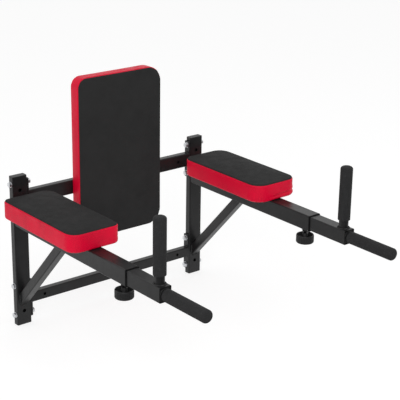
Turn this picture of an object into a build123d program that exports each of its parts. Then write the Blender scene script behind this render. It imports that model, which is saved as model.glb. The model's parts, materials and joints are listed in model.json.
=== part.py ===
from build123d import *
import os
from math import cos, hypot, pi, sin

# Wall-mounted dip and knee-raise station, in millimetres. +Z is up, the wall is the plane Y = 0,
# the station's front faces -Y and +X is on the right of someone who looks at it from the front.
# The origin lies on the wall, at the centre of the four wall bolts.

# Uprights
UPRIGHT_SPACING = 600.0       # between the two centre lines
UPRIGHT_WIDTH = 44.0
UPRIGHT_DEPTH = 20.0
UPRIGHT_LENGTH = 426.0
UPRIGHT_WALL = 2.0
TUBE_CORNER = 3.0             # outside corner of every rolled tube
BORE_CORNER = 0.8             # inside corner of every rolled tube
WALL_HOLE_PITCH = 350.0
WALL_HOLE_DIA = 10.5
CAP_LID = 2.0
CAP_PLUG = 10.0

# Crossbars and their end flanges
UPPER_BAR_HEIGHT = 40.0
LOWER_BAR_HEIGHT = 30.0
BAR_WALL = 2.0
UPPER_BAR_DROP = 63.0         # bar centre below the upright's top end
LOWER_BAR_RISE = 71.0         # bar centre above the upright's bottom end
BAR_HOLE_INSET = 40.0         # wall hole from the end of the bar
BAR_HOLE_DIA = 9.0
FLANGE_LENGTH = 110.0
FLANGE_THICK = 5.0
FLANGE_BOLT_PITCH = 86.0

# Arms and braces
ARM_WIDTH = 40.0
ARM_HEIGHT = 44.0
ARM_WALL = 1.5
ARM_LENGTH = 500.0
ARM_DROP = 113.5              # arm centre below the upright's top end
BRACE_WIDTH = 25.0
BRACE_HEIGHT = 25.0
BRACE_WALL = 1.5
BRACE_REACH = 198.5           # from the upright's face to the middle of the brace's head
BRACE_DROP = 215.0            # from the arm's underside to the middle of the brace's foot

# Telescopic extensions
BUSH_WALL = 0.92
BUSH_LENGTH = 60.0
BUSH_LIP = 3.0
SLIDE_CLEARANCE = 0.08
EXTENSION_WALL = 1.5
EXTENSION_REACH = 132.0       # out of the arm's mouth, as stored
EXTENSION_OVERLAP = 200.0     # inside the arm, as stored
RETRACT_TRAVEL = 85.0
PLUG_RIM = 3.0
PLUG_LENGTH = 28.0
END_PLATE_THICK = 3.0
END_PLATE_RECESS = 2.0

# Handles and grips
HANDLE_DIA = 25.0
HANDLE_WALL = 1.5
GRIP_DIA = 32.5
GRIP_END = 5.0                # closed end of a grip
GRIP_ROUND = 8.0
DIP_HANDLE_REACH = 157.0      # from the extension's end to the end of the grip
DIP_HANDLE_ROOT = 30.0        # length inside the extension
DIP_GRIP_GAP = 5.0
VERTICAL_HANDLE_SETBACK = 22.0
VERTICAL_HANDLE_HEIGHT = 168.0
VERTICAL_GRIP_GAP = 22.0      # bare tube under the vertical grip

# Clamps
CLAMP_SETBACK = 30.0          # clamp axis behind the arm's mouth
CLAMP_SCREW_DIA = 10.0
CLAMP_SCREW_CLEARANCE = 0.05
CLAMP_HOLE_CLEARANCE = 0.3
CLAMP_NUT_FLATS = 17.0
CLAMP_NUT_HEIGHT = 10.0
SLUG_LENGTH = 6.0
SLUG_CLEARANCE = 0.1
SLUG_GAP = 0.1                # between the slug and the extension
KNOB_DIA = 48.5
KNOB_BAND = 23.0              # height of the knob's outer band
KNOB_DROP = 21.0              # knob's upper rim below the arm
KNOB_DISH = 12.0              # depth of the dish in the knob's upper face
KNOB_RIM = 3.0
KNOB_ROUND = 4.0
KNOB_HUB_DIA = 16.0
KNOB_HUB_HEIGHT = 17.0        # hub above the bottom of the dish
KNOB_FLOOR = 5.0              # knob below the end of its screw
KNOB_FLUTES = 30
KNOB_FLUTE_DIA = 2.4

# Fasteners, M8
BOLT_DIA = 8.0
BOLT_CLEARANCE = 0.5          # on the diameter of a drilled hole
THREAD_CLEARANCE = 0.04       # on the diameter, nut over bolt
BOLT_FLATS = 13.0
BOLT_HEAD = 5.3
NUT_HEIGHT = 6.5
BOLT_TAIL = 1.0               # thread past the nut
WASHER_DIA = 16.0
WASHER_THICK = 1.6
ACCESS_DIA = 18.0             # hole that lets a bolt head and its socket through
TEE_FLANGE_DIA = 20.0
TEE_FLANGE = 1.5
TEE_BARREL_DIA = 10.0
TEE_BARREL = 9.0

# Pads
BOARD_INSET = 9.0             # board inside the cushion's outline
SOFT_GAP = 0.3                # cushion clear of the metal that it lies over
ARM_PAD_WIDTH = 148.0
ARM_PAD_LENGTH = 328.0
ARM_PAD_SIDE = 50.0           # height of the side band
ARM_PAD_GAP = 28.0            # from the upright's face
ARM_PAD_CORNER = 26.0
ARM_BOARD_THICK = 12.0
ARM_PAD_BOLT_INSET = 50.0     # rear bolt from the rear edge of the pad
ARM_PAD_BOLT_SPARE = 12.0     # front bolt behind the fully retracted extension
BRACE_WELD_ROOM = 5.0         # between the brace's head and the front bolt's access hole
BACK_PAD_WIDTH = 276.0
BACK_PAD_HEIGHT = 462.0
BACK_PAD_SIDE = 40.0
BACK_PAD_BELOW = 150.0        # pad's lower edge below the upper bar's centre
BACK_PAD_CORNER = 28.0
BACK_BOARD_THICK = 15.0
BACK_PAD_BOLT_PITCH = 160.0
CUSHION_TUCK = 4.0            # edge tucked in under the pad
CUSHION_ROLL = 5.0            # height of the rolled edges
CUSHION_DRAW = 1.5            # side band drawn in between its two edges
CUSHION_PULL = 0.5            # sides drawn in between the corners
CUSHION_EDGE = 3.0            # step in from the side band to the face
CUSHION_CROWN = 6.0           # face's middle above its edge
CUSHION_SWELL = 4.0           # crown's shoulder above the face's edge
CROWN_SHOULDER = 18.0         # from the face's edge to the shoulder, and on to the crown's flat
CROWN_CORNER = 10.0           # least corner of the crown

# Places worked out from the sizes above
SIDES = {"left": -1, "right": 1}
TOP_END = UPRIGHT_LENGTH / 2
UPPER_BAR_Z = TOP_END - UPPER_BAR_DROP
LOWER_BAR_Z = LOWER_BAR_RISE - TOP_END
BAR_HALF = (UPRIGHT_SPACING - UPRIGHT_WIDTH) / 2 - FLANGE_THICK
ARM_Z = TOP_END - ARM_DROP
ARM_BOTTOM = ARM_Z - ARM_HEIGHT / 2
ARM_TOP = ARM_Z + ARM_HEIGHT / 2
MOUTH = UPRIGHT_DEPTH + ARM_LENGTH
SLIDE_INSET = 2 * (ARM_WALL + BUSH_WALL + SLIDE_CLEARANCE)
EXTENSION_WIDTH = ARM_WIDTH - SLIDE_INSET
EXTENSION_HEIGHT = ARM_HEIGHT - SLIDE_INSET
EXTENSION_END = MOUTH + EXTENSION_REACH
EXTENSION_REAR = MOUTH - EXTENSION_OVERLAP
EXTENSION_TOP = ARM_Z + EXTENSION_HEIGHT / 2
EXTENSION_BOTTOM = ARM_Z - EXTENSION_HEIGHT / 2
CLAMP_DEPTH = MOUTH - CLAMP_SETBACK
ARM_PAD_REAR = UPRIGHT_DEPTH + ARM_PAD_GAP
REAR_PAD_BOLT = ARM_PAD_REAR + ARM_PAD_BOLT_INSET
BRACE_LENGTH = hypot(BRACE_REACH, BRACE_DROP)
BRACE_HEAD = BRACE_HEIGHT * BRACE_LENGTH / BRACE_DROP
FRONT_PAD_BOLT = min(
    EXTENSION_REAR - PLUG_RIM - RETRACT_TRAVEL - ARM_PAD_BOLT_SPARE,
    UPRIGHT_DEPTH + BRACE_REACH - BRACE_HEAD / 2 - BRACE_WELD_ROOM - ACCESS_DIA / 2,
)
BACK_PAD_Z = UPPER_BAR_Z - BACK_PAD_BELOW + BACK_PAD_HEIGHT / 2
BOLT_HOLE_DIA = BOLT_DIA + BOLT_CLEARANCE

LEFTWARD = (-1, 0, 0)
RIGHTWARD = (1, 0, 0)
FORWARD = (0, -1, 0)
BACKWARD = (0, 1, 0)
UPWARD = (0, 0, 1)
DOWNWARD = (0, 0, -1)


def facing(place, direction):
    """Plane at a place, looking along a direction, with its first axis level."""
    level = (0, 1, 0) if direction in (LEFTWARD, RIGHTWARD) else (1, 0, 0)
    return Plane(origin=place, x_dir=level, z_dir=direction)


def rod(place, direction, dia, length):
    """Round bar that starts at a place."""
    return extrude(facing(place, direction) * Circle(dia / 2), length)


def ring(place, direction, dia, bore, length):
    """Round bar with a bore along its whole length."""
    return rod(place, direction, dia, length) - rod(place, direction, bore, length)


def hexagon(place, direction, flats, length):
    """Six-sided bar, measured across its flats."""
    outline = RegularPolygon(flats / 2, 6, major_radius=False)
    return extrude(facing(place, direction) * outline, length)


def bar(place, direction, width, height, corner, length):
    """Rectangular bar with rounded corners that starts at a place."""
    return extrude(facing(place, direction) * RectangleRounded(width, height, corner), length)


def tube(place, direction, width, height, wall, length):
    """Rolled rectangular tube that starts at a place."""
    outside = bar(place, direction, width, height, TUBE_CORNER, length)
    bore = bar(place, direction, width - 2 * wall, height - 2 * wall, BORE_CORNER, length)
    return outside - bore


def bolt(seat, direction, grip):
    """Hexagon bolt: its head stands on the seat and its shank runs the other way."""
    back = tuple(-part for part in direction)
    return hexagon(seat, direction, BOLT_FLATS, BOLT_HEAD) + rod(seat, back, BOLT_DIA, grip)


def washer(seat, direction):
    """Plain washer that stands on a seat."""
    return ring(seat, direction, WASHER_DIA, BOLT_HOLE_DIA, WASHER_THICK)


def tee_nut(face, direction):
    """Tee nut let into the face of a board, its barrel running in along a direction."""
    body = rod(face, direction, TEE_FLANGE_DIA, TEE_FLANGE)
    body += rod(face, direction, TEE_BARREL_DIA, TEE_FLANGE + TEE_BARREL)
    return body - rod(face, direction, BOLT_DIA + THREAD_CLEARANCE, TEE_FLANGE + TEE_BARREL)


def tee_seat(face, direction, thick):
    """Space that a tee nut and its bolt take up in a board."""
    space = rod(face, direction, TEE_FLANGE_DIA, TEE_FLANGE)
    space += rod(face, direction, TEE_BARREL_DIA, TEE_FLANGE + TEE_BARREL)
    return space + rod(face, direction, BOLT_HOLE_DIA, thick)


def pad_outline(width, length, corner, pull):
    """Face with four rounded corners and sides that are drawn in between them."""
    a, b = width / 2, length / 2
    slant = corner * (1 - cos(pi / 4))
    sides = [
        ThreePointArc((-a + corner, -b), (0, -b + pull), (a - corner, -b)),
        ThreePointArc((a - corner, -b), (a - slant, -b + slant), (a, -b + corner)),
        ThreePointArc((a, -b + corner), (a - pull, 0), (a, b - corner)),
        ThreePointArc((a, b - corner), (a - slant, b - slant), (a - corner, b)),
        ThreePointArc((a - corner, b), (0, b - pull), (-a + corner, b)),
        ThreePointArc((-a + corner, b), (-a + slant, b - slant), (-a, b - corner)),
        ThreePointArc((-a, b - corner), (-a + pull, 0), (-a, -b + corner)),
        ThreePointArc((-a, -b + corner), (-a + slant, -b + slant), (-a + corner, -b)),
    ]
    return make_face(sides)


def pad_form(width, length, side, corner):
    """Upholstered pad that lies on the level plane, with rolled edges and a crowned face."""
    levels = [
        (0, CUSHION_TUCK),
        (CUSHION_ROLL, 0),
        (side / 2, CUSHION_DRAW),
        (side - CUSHION_ROLL, 0),
        (side, CUSHION_EDGE),
        (side + CUSHION_SWELL, CUSHION_EDGE + CROWN_SHOULDER),
        (side + CUSHION_CROWN, CUSHION_EDGE + 2 * CROWN_SHOULDER),
    ]
    sections = []
    for height, inset in levels:
        radius = max(corner - inset, CROWN_CORNER)
        outline = pad_outline(width - 2 * inset, length - 2 * inset, radius, CUSHION_PULL)
        sections.append(Pos(0, 0, height) * outline)
    return loft(sections, ruled=True)


def board_form(width, length, corner, thick):
    """Plain board inside a pad's outline."""
    inset = BOARD_INSET + CUSHION_PULL
    outline = RectangleRounded(width - 2 * inset, length - 2 * inset, corner - BOARD_INSET / 2)
    return extrude(outline, thick)


def make_uprights(nodes):
    """Two rectangular tubes that lie on the wall, with plastic caps in their ends."""
    for name, side in SIDES.items():
        x = side * UPRIGHT_SPACING / 2
        middle = -UPRIGHT_DEPTH / 2
        upright = tube((x, middle, -TOP_END), UPWARD, UPRIGHT_WIDTH, UPRIGHT_DEPTH, UPRIGHT_WALL,
                       UPRIGHT_LENGTH)
        for z in (-WALL_HOLE_PITCH / 2, WALL_HOLE_PITCH / 2):
            upright -= rod((x, 0, z), FORWARD, WALL_HOLE_DIA, UPRIGHT_DEPTH)
        for z in flange_bolt_heights():
            outside = (x - UPRIGHT_WIDTH / 2, middle, z)
            upright -= rod(outside, RIGHTWARD, BOLT_HOLE_DIA, UPRIGHT_WIDTH)
        nodes[f"{name}_upright"] = upright
        caps = []
        for end, away, inward in ((TOP_END, UPWARD, DOWNWARD), (-TOP_END, DOWNWARD, UPWARD)):
            seat = (x, middle, end)
            cap = bar(seat, away, UPRIGHT_WIDTH, UPRIGHT_DEPTH, TUBE_CORNER, CAP_LID)
            cap = fillet(cap.faces().sort_by(Axis.Z)[-1 if away == UPWARD else 0].edges(), CAP_LID / 2)
            cap += bar(seat, inward, UPRIGHT_WIDTH - 2 * UPRIGHT_WALL, UPRIGHT_DEPTH - 2 * UPRIGHT_WALL,
                       BORE_CORNER, CAP_PLUG)
            caps.append(cap)
        nodes[f"{name}_upright_caps"] = caps


def flange_bolt_heights():
    """Heights of the four bolts that hold the crossbars on an upright."""
    half = FLANGE_BOLT_PITCH / 2
    return [z + step for z in (UPPER_BAR_Z, LOWER_BAR_Z) for step in (-half, half)]


def make_crossbars(nodes):
    """Two rectangular tubes between the uprights, with a flange welded on each end."""
    middle = -UPRIGHT_DEPTH / 2
    bars = {"upper": (UPPER_BAR_Z, UPPER_BAR_HEIGHT), "lower": (LOWER_BAR_Z, LOWER_BAR_HEIGHT)}
    for level, (z, height) in bars.items():
        crossbar = tube((-BAR_HALF, middle, z), RIGHTWARD, UPRIGHT_DEPTH, height, BAR_WALL, 2 * BAR_HALF)
        for side in SIDES.values():
            hole = (side * (BAR_HALF - BAR_HOLE_INSET), 0, z)
            crossbar -= rod(hole, FORWARD, BAR_HOLE_DIA, UPRIGHT_DEPTH)
        if level == "upper":
            for x in back_pad_bolt_places():
                crossbar -= rod((x, 0, z), FORWARD, ACCESS_DIA, UPRIGHT_DEPTH / 2)
                crossbar -= rod((x, middle, z), FORWARD, BOLT_HOLE_DIA, UPRIGHT_DEPTH / 2)
        nodes[f"{level}_crossbar"] = crossbar
        for name, side in SIDES.items():
            outward = RIGHTWARD if side > 0 else LEFTWARD
            seat = (side * BAR_HALF, middle, z)
            flange = bar(seat, outward, UPRIGHT_DEPTH, FLANGE_LENGTH, TUBE_CORNER, FLANGE_THICK)
            for step in (-FLANGE_BOLT_PITCH / 2, FLANGE_BOLT_PITCH / 2):
                hole = (side * BAR_HALF, middle, z + step)
                flange -= rod(hole, outward, BOLT_HOLE_DIA, FLANGE_THICK)
            nodes[f"{level}_{name}_flange"] = flange


def make_flange_fasteners(nodes):
    """Bolts through the uprights and flanges, with washers and nuts."""
    bolts, washers, nuts = [], [], []
    middle = -UPRIGHT_DEPTH / 2
    grip = WASHER_THICK + UPRIGHT_WIDTH + FLANGE_THICK + WASHER_THICK + NUT_HEIGHT + BOLT_TAIL
    for side in SIDES.values():
        outward, inward = (RIGHTWARD, LEFTWARD) if side > 0 else (LEFTWARD, RIGHTWARD)
        outer = UPRIGHT_SPACING / 2 + UPRIGHT_WIDTH / 2
        for z in flange_bolt_heights():
            washers.append(washer((side * outer, middle, z), outward))
            bolts.append(bolt((side * (outer + WASHER_THICK), middle, z), outward, grip))
            washers.append(washer((side * BAR_HALF, middle, z), inward))
            seat = (side * (BAR_HALF - WASHER_THICK), middle, z)
            nut = hexagon(seat, inward, BOLT_FLATS, NUT_HEIGHT)
            nuts.append(nut - rod(seat, inward, BOLT_DIA + THREAD_CLEARANCE, NUT_HEIGHT))
    nodes["flange_bolts"] = bolts
    nodes["flange_washers"] = washers
    nodes["flange_nuts"] = nuts


def make_arm(nodes, name, x):
    """Outer arm tube with its brace, slide bush and weld nut."""
    arm = tube((x, -UPRIGHT_DEPTH, ARM_Z), FORWARD, ARM_WIDTH, ARM_HEIGHT, ARM_WALL, ARM_LENGTH)
    for depth in (REAR_PAD_BOLT, FRONT_PAD_BOLT):
        arm -= rod((x, -depth, ARM_Z), UPWARD, BOLT_HOLE_DIA, ARM_HEIGHT / 2)
        arm -= rod((x, -depth, ARM_Z), DOWNWARD, ACCESS_DIA, ARM_HEIGHT / 2)
    hole_dia = CLAMP_SCREW_DIA + CLAMP_HOLE_CLEARANCE
    screw_hole = rod((x, -CLAMP_DEPTH, ARM_Z), DOWNWARD, hole_dia, ARM_HEIGHT / 2)
    nodes[f"{name}_arm_tube"] = arm - screw_hole

    nodes[f"{name}_brace"] = make_brace(x)

    mouth = (x, -MOUTH, ARM_Z)
    bush = bar(mouth, BACKWARD, ARM_WIDTH - 2 * ARM_WALL, ARM_HEIGHT - 2 * ARM_WALL, BORE_CORNER,
               BUSH_LENGTH)
    bush += bar(mouth, FORWARD, ARM_WIDTH, ARM_HEIGHT, TUBE_CORNER, BUSH_LIP)
    lip = (x, -MOUTH - BUSH_LIP, ARM_Z)
    bush -= bar(lip, BACKWARD, EXTENSION_WIDTH + 2 * SLIDE_CLEARANCE, EXTENSION_HEIGHT + 2 * SLIDE_CLEARANCE,
                TUBE_CORNER, BUSH_LIP + BUSH_LENGTH)
    nodes[f"{name}_slide_bush"] = bush - screw_hole

    seat = (x, -CLAMP_DEPTH, ARM_BOTTOM)
    nut = hexagon(seat, DOWNWARD, CLAMP_NUT_FLATS, CLAMP_NUT_HEIGHT)
    thread = CLAMP_SCREW_DIA + 2 * CLAMP_SCREW_CLEARANCE
    nodes[f"{name}_clamp_nut"] = nut - rod(seat, DOWNWARD, thread, CLAMP_NUT_HEIGHT)


def make_brace(x):
    """Slanted tube between the upright's face and the arm's underside, cut to both."""
    foot = (-UPRIGHT_DEPTH, ARM_BOTTOM - BRACE_DROP)
    run, rise = -BRACE_REACH / BRACE_LENGTH, BRACE_DROP / BRACE_LENGTH

    def band(half, width):
        """Part of the brace's section between two slanted lines, up to both cuts."""
        up = half / abs(run)
        along = half / rise
        head = foot[0] - BRACE_REACH
        corners = [
            (foot[0], foot[1] - up),
            (foot[0], foot[1] + up),
            (head + along, ARM_BOTTOM),
            (head - along, ARM_BOTTOM),
        ]
        outline = make_face(Polyline(*corners, close=True))
        return extrude(Plane.YZ.offset(x - width / 2) * outline, width)

    outside = band(BRACE_HEIGHT / 2, BRACE_WIDTH)
    lengthwise = outside.edges().filter_by(Axis((0, 0, 0), (0, run, rise)))
    bore = band(BRACE_HEIGHT / 2 - BRACE_WALL, BRACE_WIDTH - 2 * BRACE_WALL)
    return fillet(lengthwise, TUBE_CORNER) - bore


def make_extension(nodes, name, x):
    """Sliding inner tube with its plug, end plate, two handles and their grips."""
    length = EXTENSION_REACH + EXTENSION_OVERLAP
    end = (x, -EXTENSION_END, ARM_Z)
    nodes[f"{name}_extension_tube"] = tube(end, BACKWARD, EXTENSION_WIDTH, EXTENSION_HEIGHT, EXTENSION_WALL,
                                           length)
    bore_width = EXTENSION_WIDTH - 2 * EXTENSION_WALL
    bore_height = EXTENSION_HEIGHT - 2 * EXTENSION_WALL

    rear = (x, -EXTENSION_REAR, ARM_Z)
    rim_inset = 2 * (ARM_WALL + SLIDE_CLEARANCE)
    plug = bar(rear, BACKWARD, ARM_WIDTH - rim_inset, ARM_HEIGHT - rim_inset, BORE_CORNER, PLUG_RIM)
    plug += bar(rear, FORWARD, bore_width, bore_height, BORE_CORNER, PLUG_LENGTH)
    nodes[f"{name}_slide_plug"] = plug

    plate = (x, -EXTENSION_END + END_PLATE_RECESS, ARM_Z)
    end_plate = bar(plate, BACKWARD, bore_width, bore_height, BORE_CORNER, END_PLATE_THICK)
    nodes[f"{name}_end_plate"] = end_plate - rod(plate, BACKWARD, HANDLE_DIA, END_PLATE_THICK)

    bore = HANDLE_DIA - 2 * HANDLE_WALL
    root = (x, -EXTENSION_END + DIP_HANDLE_ROOT, ARM_Z)
    dip_length = DIP_HANDLE_ROOT + DIP_HANDLE_REACH - GRIP_END
    nodes[f"{name}_dip_handle"] = ring(root, FORWARD, HANDLE_DIA, bore, dip_length)
    start = (x, -EXTENSION_END - DIP_GRIP_GAP, ARM_Z)
    nodes[f"{name}_dip_grip"] = make_grip(start, FORWARD, DIP_HANDLE_REACH - DIP_GRIP_GAP)

    y = -EXTENSION_END + VERTICAL_HANDLE_SETBACK
    foot = (x, y, EXTENSION_TOP)
    tube_length = VERTICAL_HANDLE_HEIGHT - GRIP_END
    nodes[f"{name}_vertical_handle"] = ring(foot, UPWARD, HANDLE_DIA, bore, tube_length)
    start = (x, y, EXTENSION_TOP + VERTICAL_GRIP_GAP)
    nodes[f"{name}_vertical_grip"] = make_grip(start, UPWARD, VERTICAL_HANDLE_HEIGHT - VERTICAL_GRIP_GAP)


def make_grip(start, direction, length):
    """Soft sleeve over a handle, closed and rounded at its far end."""
    grip = rod(start, direction, GRIP_DIA, length)
    far = grip.faces().sort_by(Axis(start, direction))[-1]
    grip = fillet(far.edges(), GRIP_ROUND)
    return grip - rod(start, direction, HANDLE_DIA, length - GRIP_END)


def make_clamp(nodes, name, x):
    """Round knob on a screw that presses a soft slug against the extension."""
    top = EXTENSION_BOTTOM - SLUG_GAP
    slug_dia = CLAMP_SCREW_DIA - 2 * SLUG_CLEARANCE
    nodes[f"{name}_clamp_slug"] = rod((x, -CLAMP_DEPTH, top), DOWNWARD, slug_dia, SLUG_LENGTH)

    rim = ARM_BOTTOM - KNOB_DROP
    screw_top = top - SLUG_LENGTH
    screw_end = rim - KNOB_BAND + KNOB_FLOOR
    screw = rod((x, -CLAMP_DEPTH, screw_top), DOWNWARD, CLAMP_SCREW_DIA, screw_top - screw_end)
    nodes[f"{name}_clamp_screw"] = screw

    knob = rod((x, -CLAMP_DEPTH, rim), DOWNWARD, KNOB_DIA, KNOB_BAND)
    knob = fillet(knob.faces().sort_by(Axis.Z)[0].edges(), KNOB_ROUND)
    knob -= rod((x, -CLAMP_DEPTH, rim), DOWNWARD, KNOB_DIA - 2 * KNOB_RIM, KNOB_DISH)
    knob += rod((x, -CLAMP_DEPTH, rim - KNOB_DISH), UPWARD, KNOB_HUB_DIA, KNOB_HUB_HEIGHT)
    for step in range(KNOB_FLUTES):
        turn = 2 * pi * step / KNOB_FLUTES
        groove = (x + KNOB_DIA / 2 * cos(turn), -CLAMP_DEPTH + KNOB_DIA / 2 * sin(turn), rim)
        knob -= rod(groove, DOWNWARD, KNOB_FLUTE_DIA, KNOB_BAND)
    hub_top = rim - KNOB_DISH + KNOB_HUB_HEIGHT
    knob -= rod((x, -CLAMP_DEPTH, screw_end), UPWARD, CLAMP_SCREW_DIA, hub_top - screw_end)
    nodes[f"{name}_clamp_knob"] = knob


def make_arm_pads(nodes):
    """Board and cushion on each arm, and the fasteners that hold them."""
    bolts, washers, tee_nuts = [], [], []
    seat = ARM_TOP - ARM_WALL
    board_top = ARM_TOP + ARM_BOARD_THICK
    grip = WASHER_THICK + ARM_WALL + ARM_BOARD_THICK
    for name, side in SIDES.items():
        x = side * UPRIGHT_SPACING / 2
        middle = -ARM_PAD_REAR - ARM_PAD_LENGTH / 2
        board = board_form(ARM_PAD_WIDTH, ARM_PAD_LENGTH, ARM_PAD_CORNER, ARM_BOARD_THICK)
        board = Pos(x, middle, ARM_TOP) * board
        cushion = pad_form(ARM_PAD_WIDTH, ARM_PAD_LENGTH, ARM_PAD_SIDE, ARM_PAD_CORNER)
        nodes[f"{name}_arm_pad_cushion"] = Pos(x, middle, ARM_TOP + SOFT_GAP) * cushion - board
        for depth in (REAR_PAD_BOLT, FRONT_PAD_BOLT):
            face = (x, -depth, board_top)
            board -= tee_seat(face, DOWNWARD, ARM_BOARD_THICK)
            tee_nuts.append(tee_nut(face, DOWNWARD))
            washers.append(washer((x, -depth, seat), DOWNWARD))
            bolts.append(bolt((x, -depth, seat - WASHER_THICK), DOWNWARD, grip))
        nodes[f"{name}_arm_pad_board"] = board
    nodes["arm_pad_bolts"] = bolts
    nodes["arm_pad_washers"] = washers
    nodes["arm_pad_tee_nuts"] = tee_nuts


def back_pad_bolt_places():
    """Sideways places of the bolts that hold the back pad."""
    return (-BACK_PAD_BOLT_PITCH / 2, BACK_PAD_BOLT_PITCH / 2)


def make_back_pad(nodes):
    """Board and cushion on the upper crossbar, and the fasteners inside the bar."""
    bolts, washers, tee_nuts = [], [], []
    board = board_form(BACK_PAD_WIDTH, BACK_PAD_HEIGHT, BACK_PAD_CORNER, BACK_BOARD_THICK)
    board = facing((0, -UPRIGHT_DEPTH, BACK_PAD_Z), FORWARD) * board
    cushion = pad_form(BACK_PAD_WIDTH, BACK_PAD_HEIGHT, BACK_PAD_SIDE, BACK_PAD_CORNER)
    cushion = facing((0, -UPRIGHT_DEPTH - SOFT_GAP, BACK_PAD_Z), FORWARD) * cushion
    nodes["back_pad_cushion"] = cushion - board
    seat = -UPRIGHT_DEPTH + BAR_WALL
    grip = WASHER_THICK + BAR_WALL + BACK_BOARD_THICK
    for x in back_pad_bolt_places():
        face = (x, -UPRIGHT_DEPTH - BACK_BOARD_THICK, UPPER_BAR_Z)
        board -= tee_seat(face, BACKWARD, BACK_BOARD_THICK)
        tee_nuts.append(tee_nut(face, BACKWARD))
        washers.append(washer((x, seat, UPPER_BAR_Z), BACKWARD))
        bolts.append(bolt((x, seat + WASHER_THICK, UPPER_BAR_Z), BACKWARD, grip))
    nodes["back_pad_board"] = board
    nodes["back_pad_bolts"] = bolts
    nodes["back_pad_washers"] = washers
    nodes["back_pad_tee_nuts"] = tee_nuts


def make_station():
    """Every piece of the station by name; a list is a group of like pieces."""
    nodes = {}
    make_uprights(nodes)
    make_crossbars(nodes)
    make_flange_fasteners(nodes)
    for name, side in SIDES.items():
        x = side * UPRIGHT_SPACING / 2
        make_arm(nodes, name, x)
        make_extension(nodes, name, x)
        make_clamp(nodes, name, x)
    make_arm_pads(nodes)
    make_back_pad(nodes)
    return nodes


os.makedirs("parts", exist_ok=True)
for node, shape in make_station().items():
    if isinstance(shape, list):
        shape = Compound(children=shape)
    export_step(shape, f"parts/{node}.step")
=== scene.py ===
"""Looks of a wall-mounted dip and knee-raise station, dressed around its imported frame.

Everything is in metres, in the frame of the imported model: the wall is the plane Y = 0, the station's
front faces -Y and +Z is up. Sizes that end in _mm or _MM, and turned outlines, are in millimetres.
"""

import json
import logging
import math
from dataclasses import dataclass, field
from enum import Enum

import bmesh
import bpy
from bmesh.types import BMesh
from bpy.types import ID, Material, Mesh, Node, NodeSocket, NodeTree, Object
from mathutils import Matrix, Vector

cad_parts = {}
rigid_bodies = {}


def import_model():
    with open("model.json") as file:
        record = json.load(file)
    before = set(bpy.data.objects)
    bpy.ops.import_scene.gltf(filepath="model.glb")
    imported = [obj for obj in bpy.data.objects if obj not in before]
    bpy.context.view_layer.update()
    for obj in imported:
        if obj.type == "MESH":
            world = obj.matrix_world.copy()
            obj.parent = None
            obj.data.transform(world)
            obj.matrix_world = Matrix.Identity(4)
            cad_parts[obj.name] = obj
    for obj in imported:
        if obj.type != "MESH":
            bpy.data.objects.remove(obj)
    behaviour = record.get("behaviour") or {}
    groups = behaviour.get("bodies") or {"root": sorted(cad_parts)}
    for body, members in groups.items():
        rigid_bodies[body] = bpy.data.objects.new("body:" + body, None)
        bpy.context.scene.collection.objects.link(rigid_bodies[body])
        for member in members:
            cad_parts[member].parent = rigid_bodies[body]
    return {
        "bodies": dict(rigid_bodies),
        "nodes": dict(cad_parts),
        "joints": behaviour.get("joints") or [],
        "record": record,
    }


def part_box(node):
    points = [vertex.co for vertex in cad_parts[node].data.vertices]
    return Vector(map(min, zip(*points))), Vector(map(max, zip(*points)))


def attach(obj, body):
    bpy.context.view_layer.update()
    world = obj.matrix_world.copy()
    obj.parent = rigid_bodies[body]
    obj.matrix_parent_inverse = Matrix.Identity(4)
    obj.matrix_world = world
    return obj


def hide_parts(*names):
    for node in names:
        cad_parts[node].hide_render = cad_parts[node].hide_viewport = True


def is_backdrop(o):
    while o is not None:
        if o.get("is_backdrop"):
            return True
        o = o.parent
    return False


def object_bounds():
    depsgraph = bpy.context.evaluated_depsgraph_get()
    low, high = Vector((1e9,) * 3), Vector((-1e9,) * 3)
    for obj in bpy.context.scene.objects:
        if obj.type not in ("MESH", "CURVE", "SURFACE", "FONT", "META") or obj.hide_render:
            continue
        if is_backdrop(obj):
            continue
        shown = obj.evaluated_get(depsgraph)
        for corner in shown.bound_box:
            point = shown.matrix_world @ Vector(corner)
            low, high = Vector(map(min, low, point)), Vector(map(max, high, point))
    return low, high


LOG = logging.getLogger("station")
MM = 0.001
FULL_TURN = 2 * math.pi
UP = Vector((0, 0, 1))
DOWN = Vector((0, 0, -1))
RIGHT = Vector((1, 0, 0))
FRONT = Vector((0, -1, 0))
Colour = tuple[float, float, float]
CLOUDY = (0.3, 0.7)               # where most of a cloudy pattern lies
BEAD_RIPPLE = 0.11                # share by which a weld bead swells and shrinks
BEAD_SIDES = 10
THREAD_DEPTH = 0.61               # of a thread's pitch
SEAM_CUTS_MM = (-5.0, -3.6, -2.5, -1.7, -1.0, -0.5, 0.0, 0.5, 1.0, 1.7)


class Side(Enum):
    """Side of the station, as seen from the front."""

    LEFT = "left"
    RIGHT = "right"


class Slot(Enum):
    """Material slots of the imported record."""

    POWDER_COAT = "powder_coat"
    BLACK_PLASTIC = "black_plastic"
    ZINC = "zinc"
    BLACK_STEEL = "black_steel"
    GRIP_RUBBER = "grip_rubber"
    PAD_LEATHER = "pad_leather"


class Facing(Enum):
    """Way that a pad's face looks."""

    UP = "up"
    FRONT = "front"


# Finishes


def add_node(tree: NodeTree, kind: str, inputs: dict[str | int, object], **choices: str) -> Node:
    """Add a node to a shader's tree.

    Args:
        tree: Tree of a material or of the world.
        kind: Type of the node, less its "ShaderNode".
        inputs: For each socket, another node's output or a value that is the same all over.
        choices: The node's own settings.

    Returns:
        The new node.
    """
    node = tree.nodes.new(f"ShaderNode{kind}")
    for name, choice in choices.items():
        setattr(node, name, choice)
    for name, source in inputs.items():
        if isinstance(source, NodeSocket):
            tree.links.new(source, node.inputs[name])
        else:
            node.inputs[name].default_value = source
    return node


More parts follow.
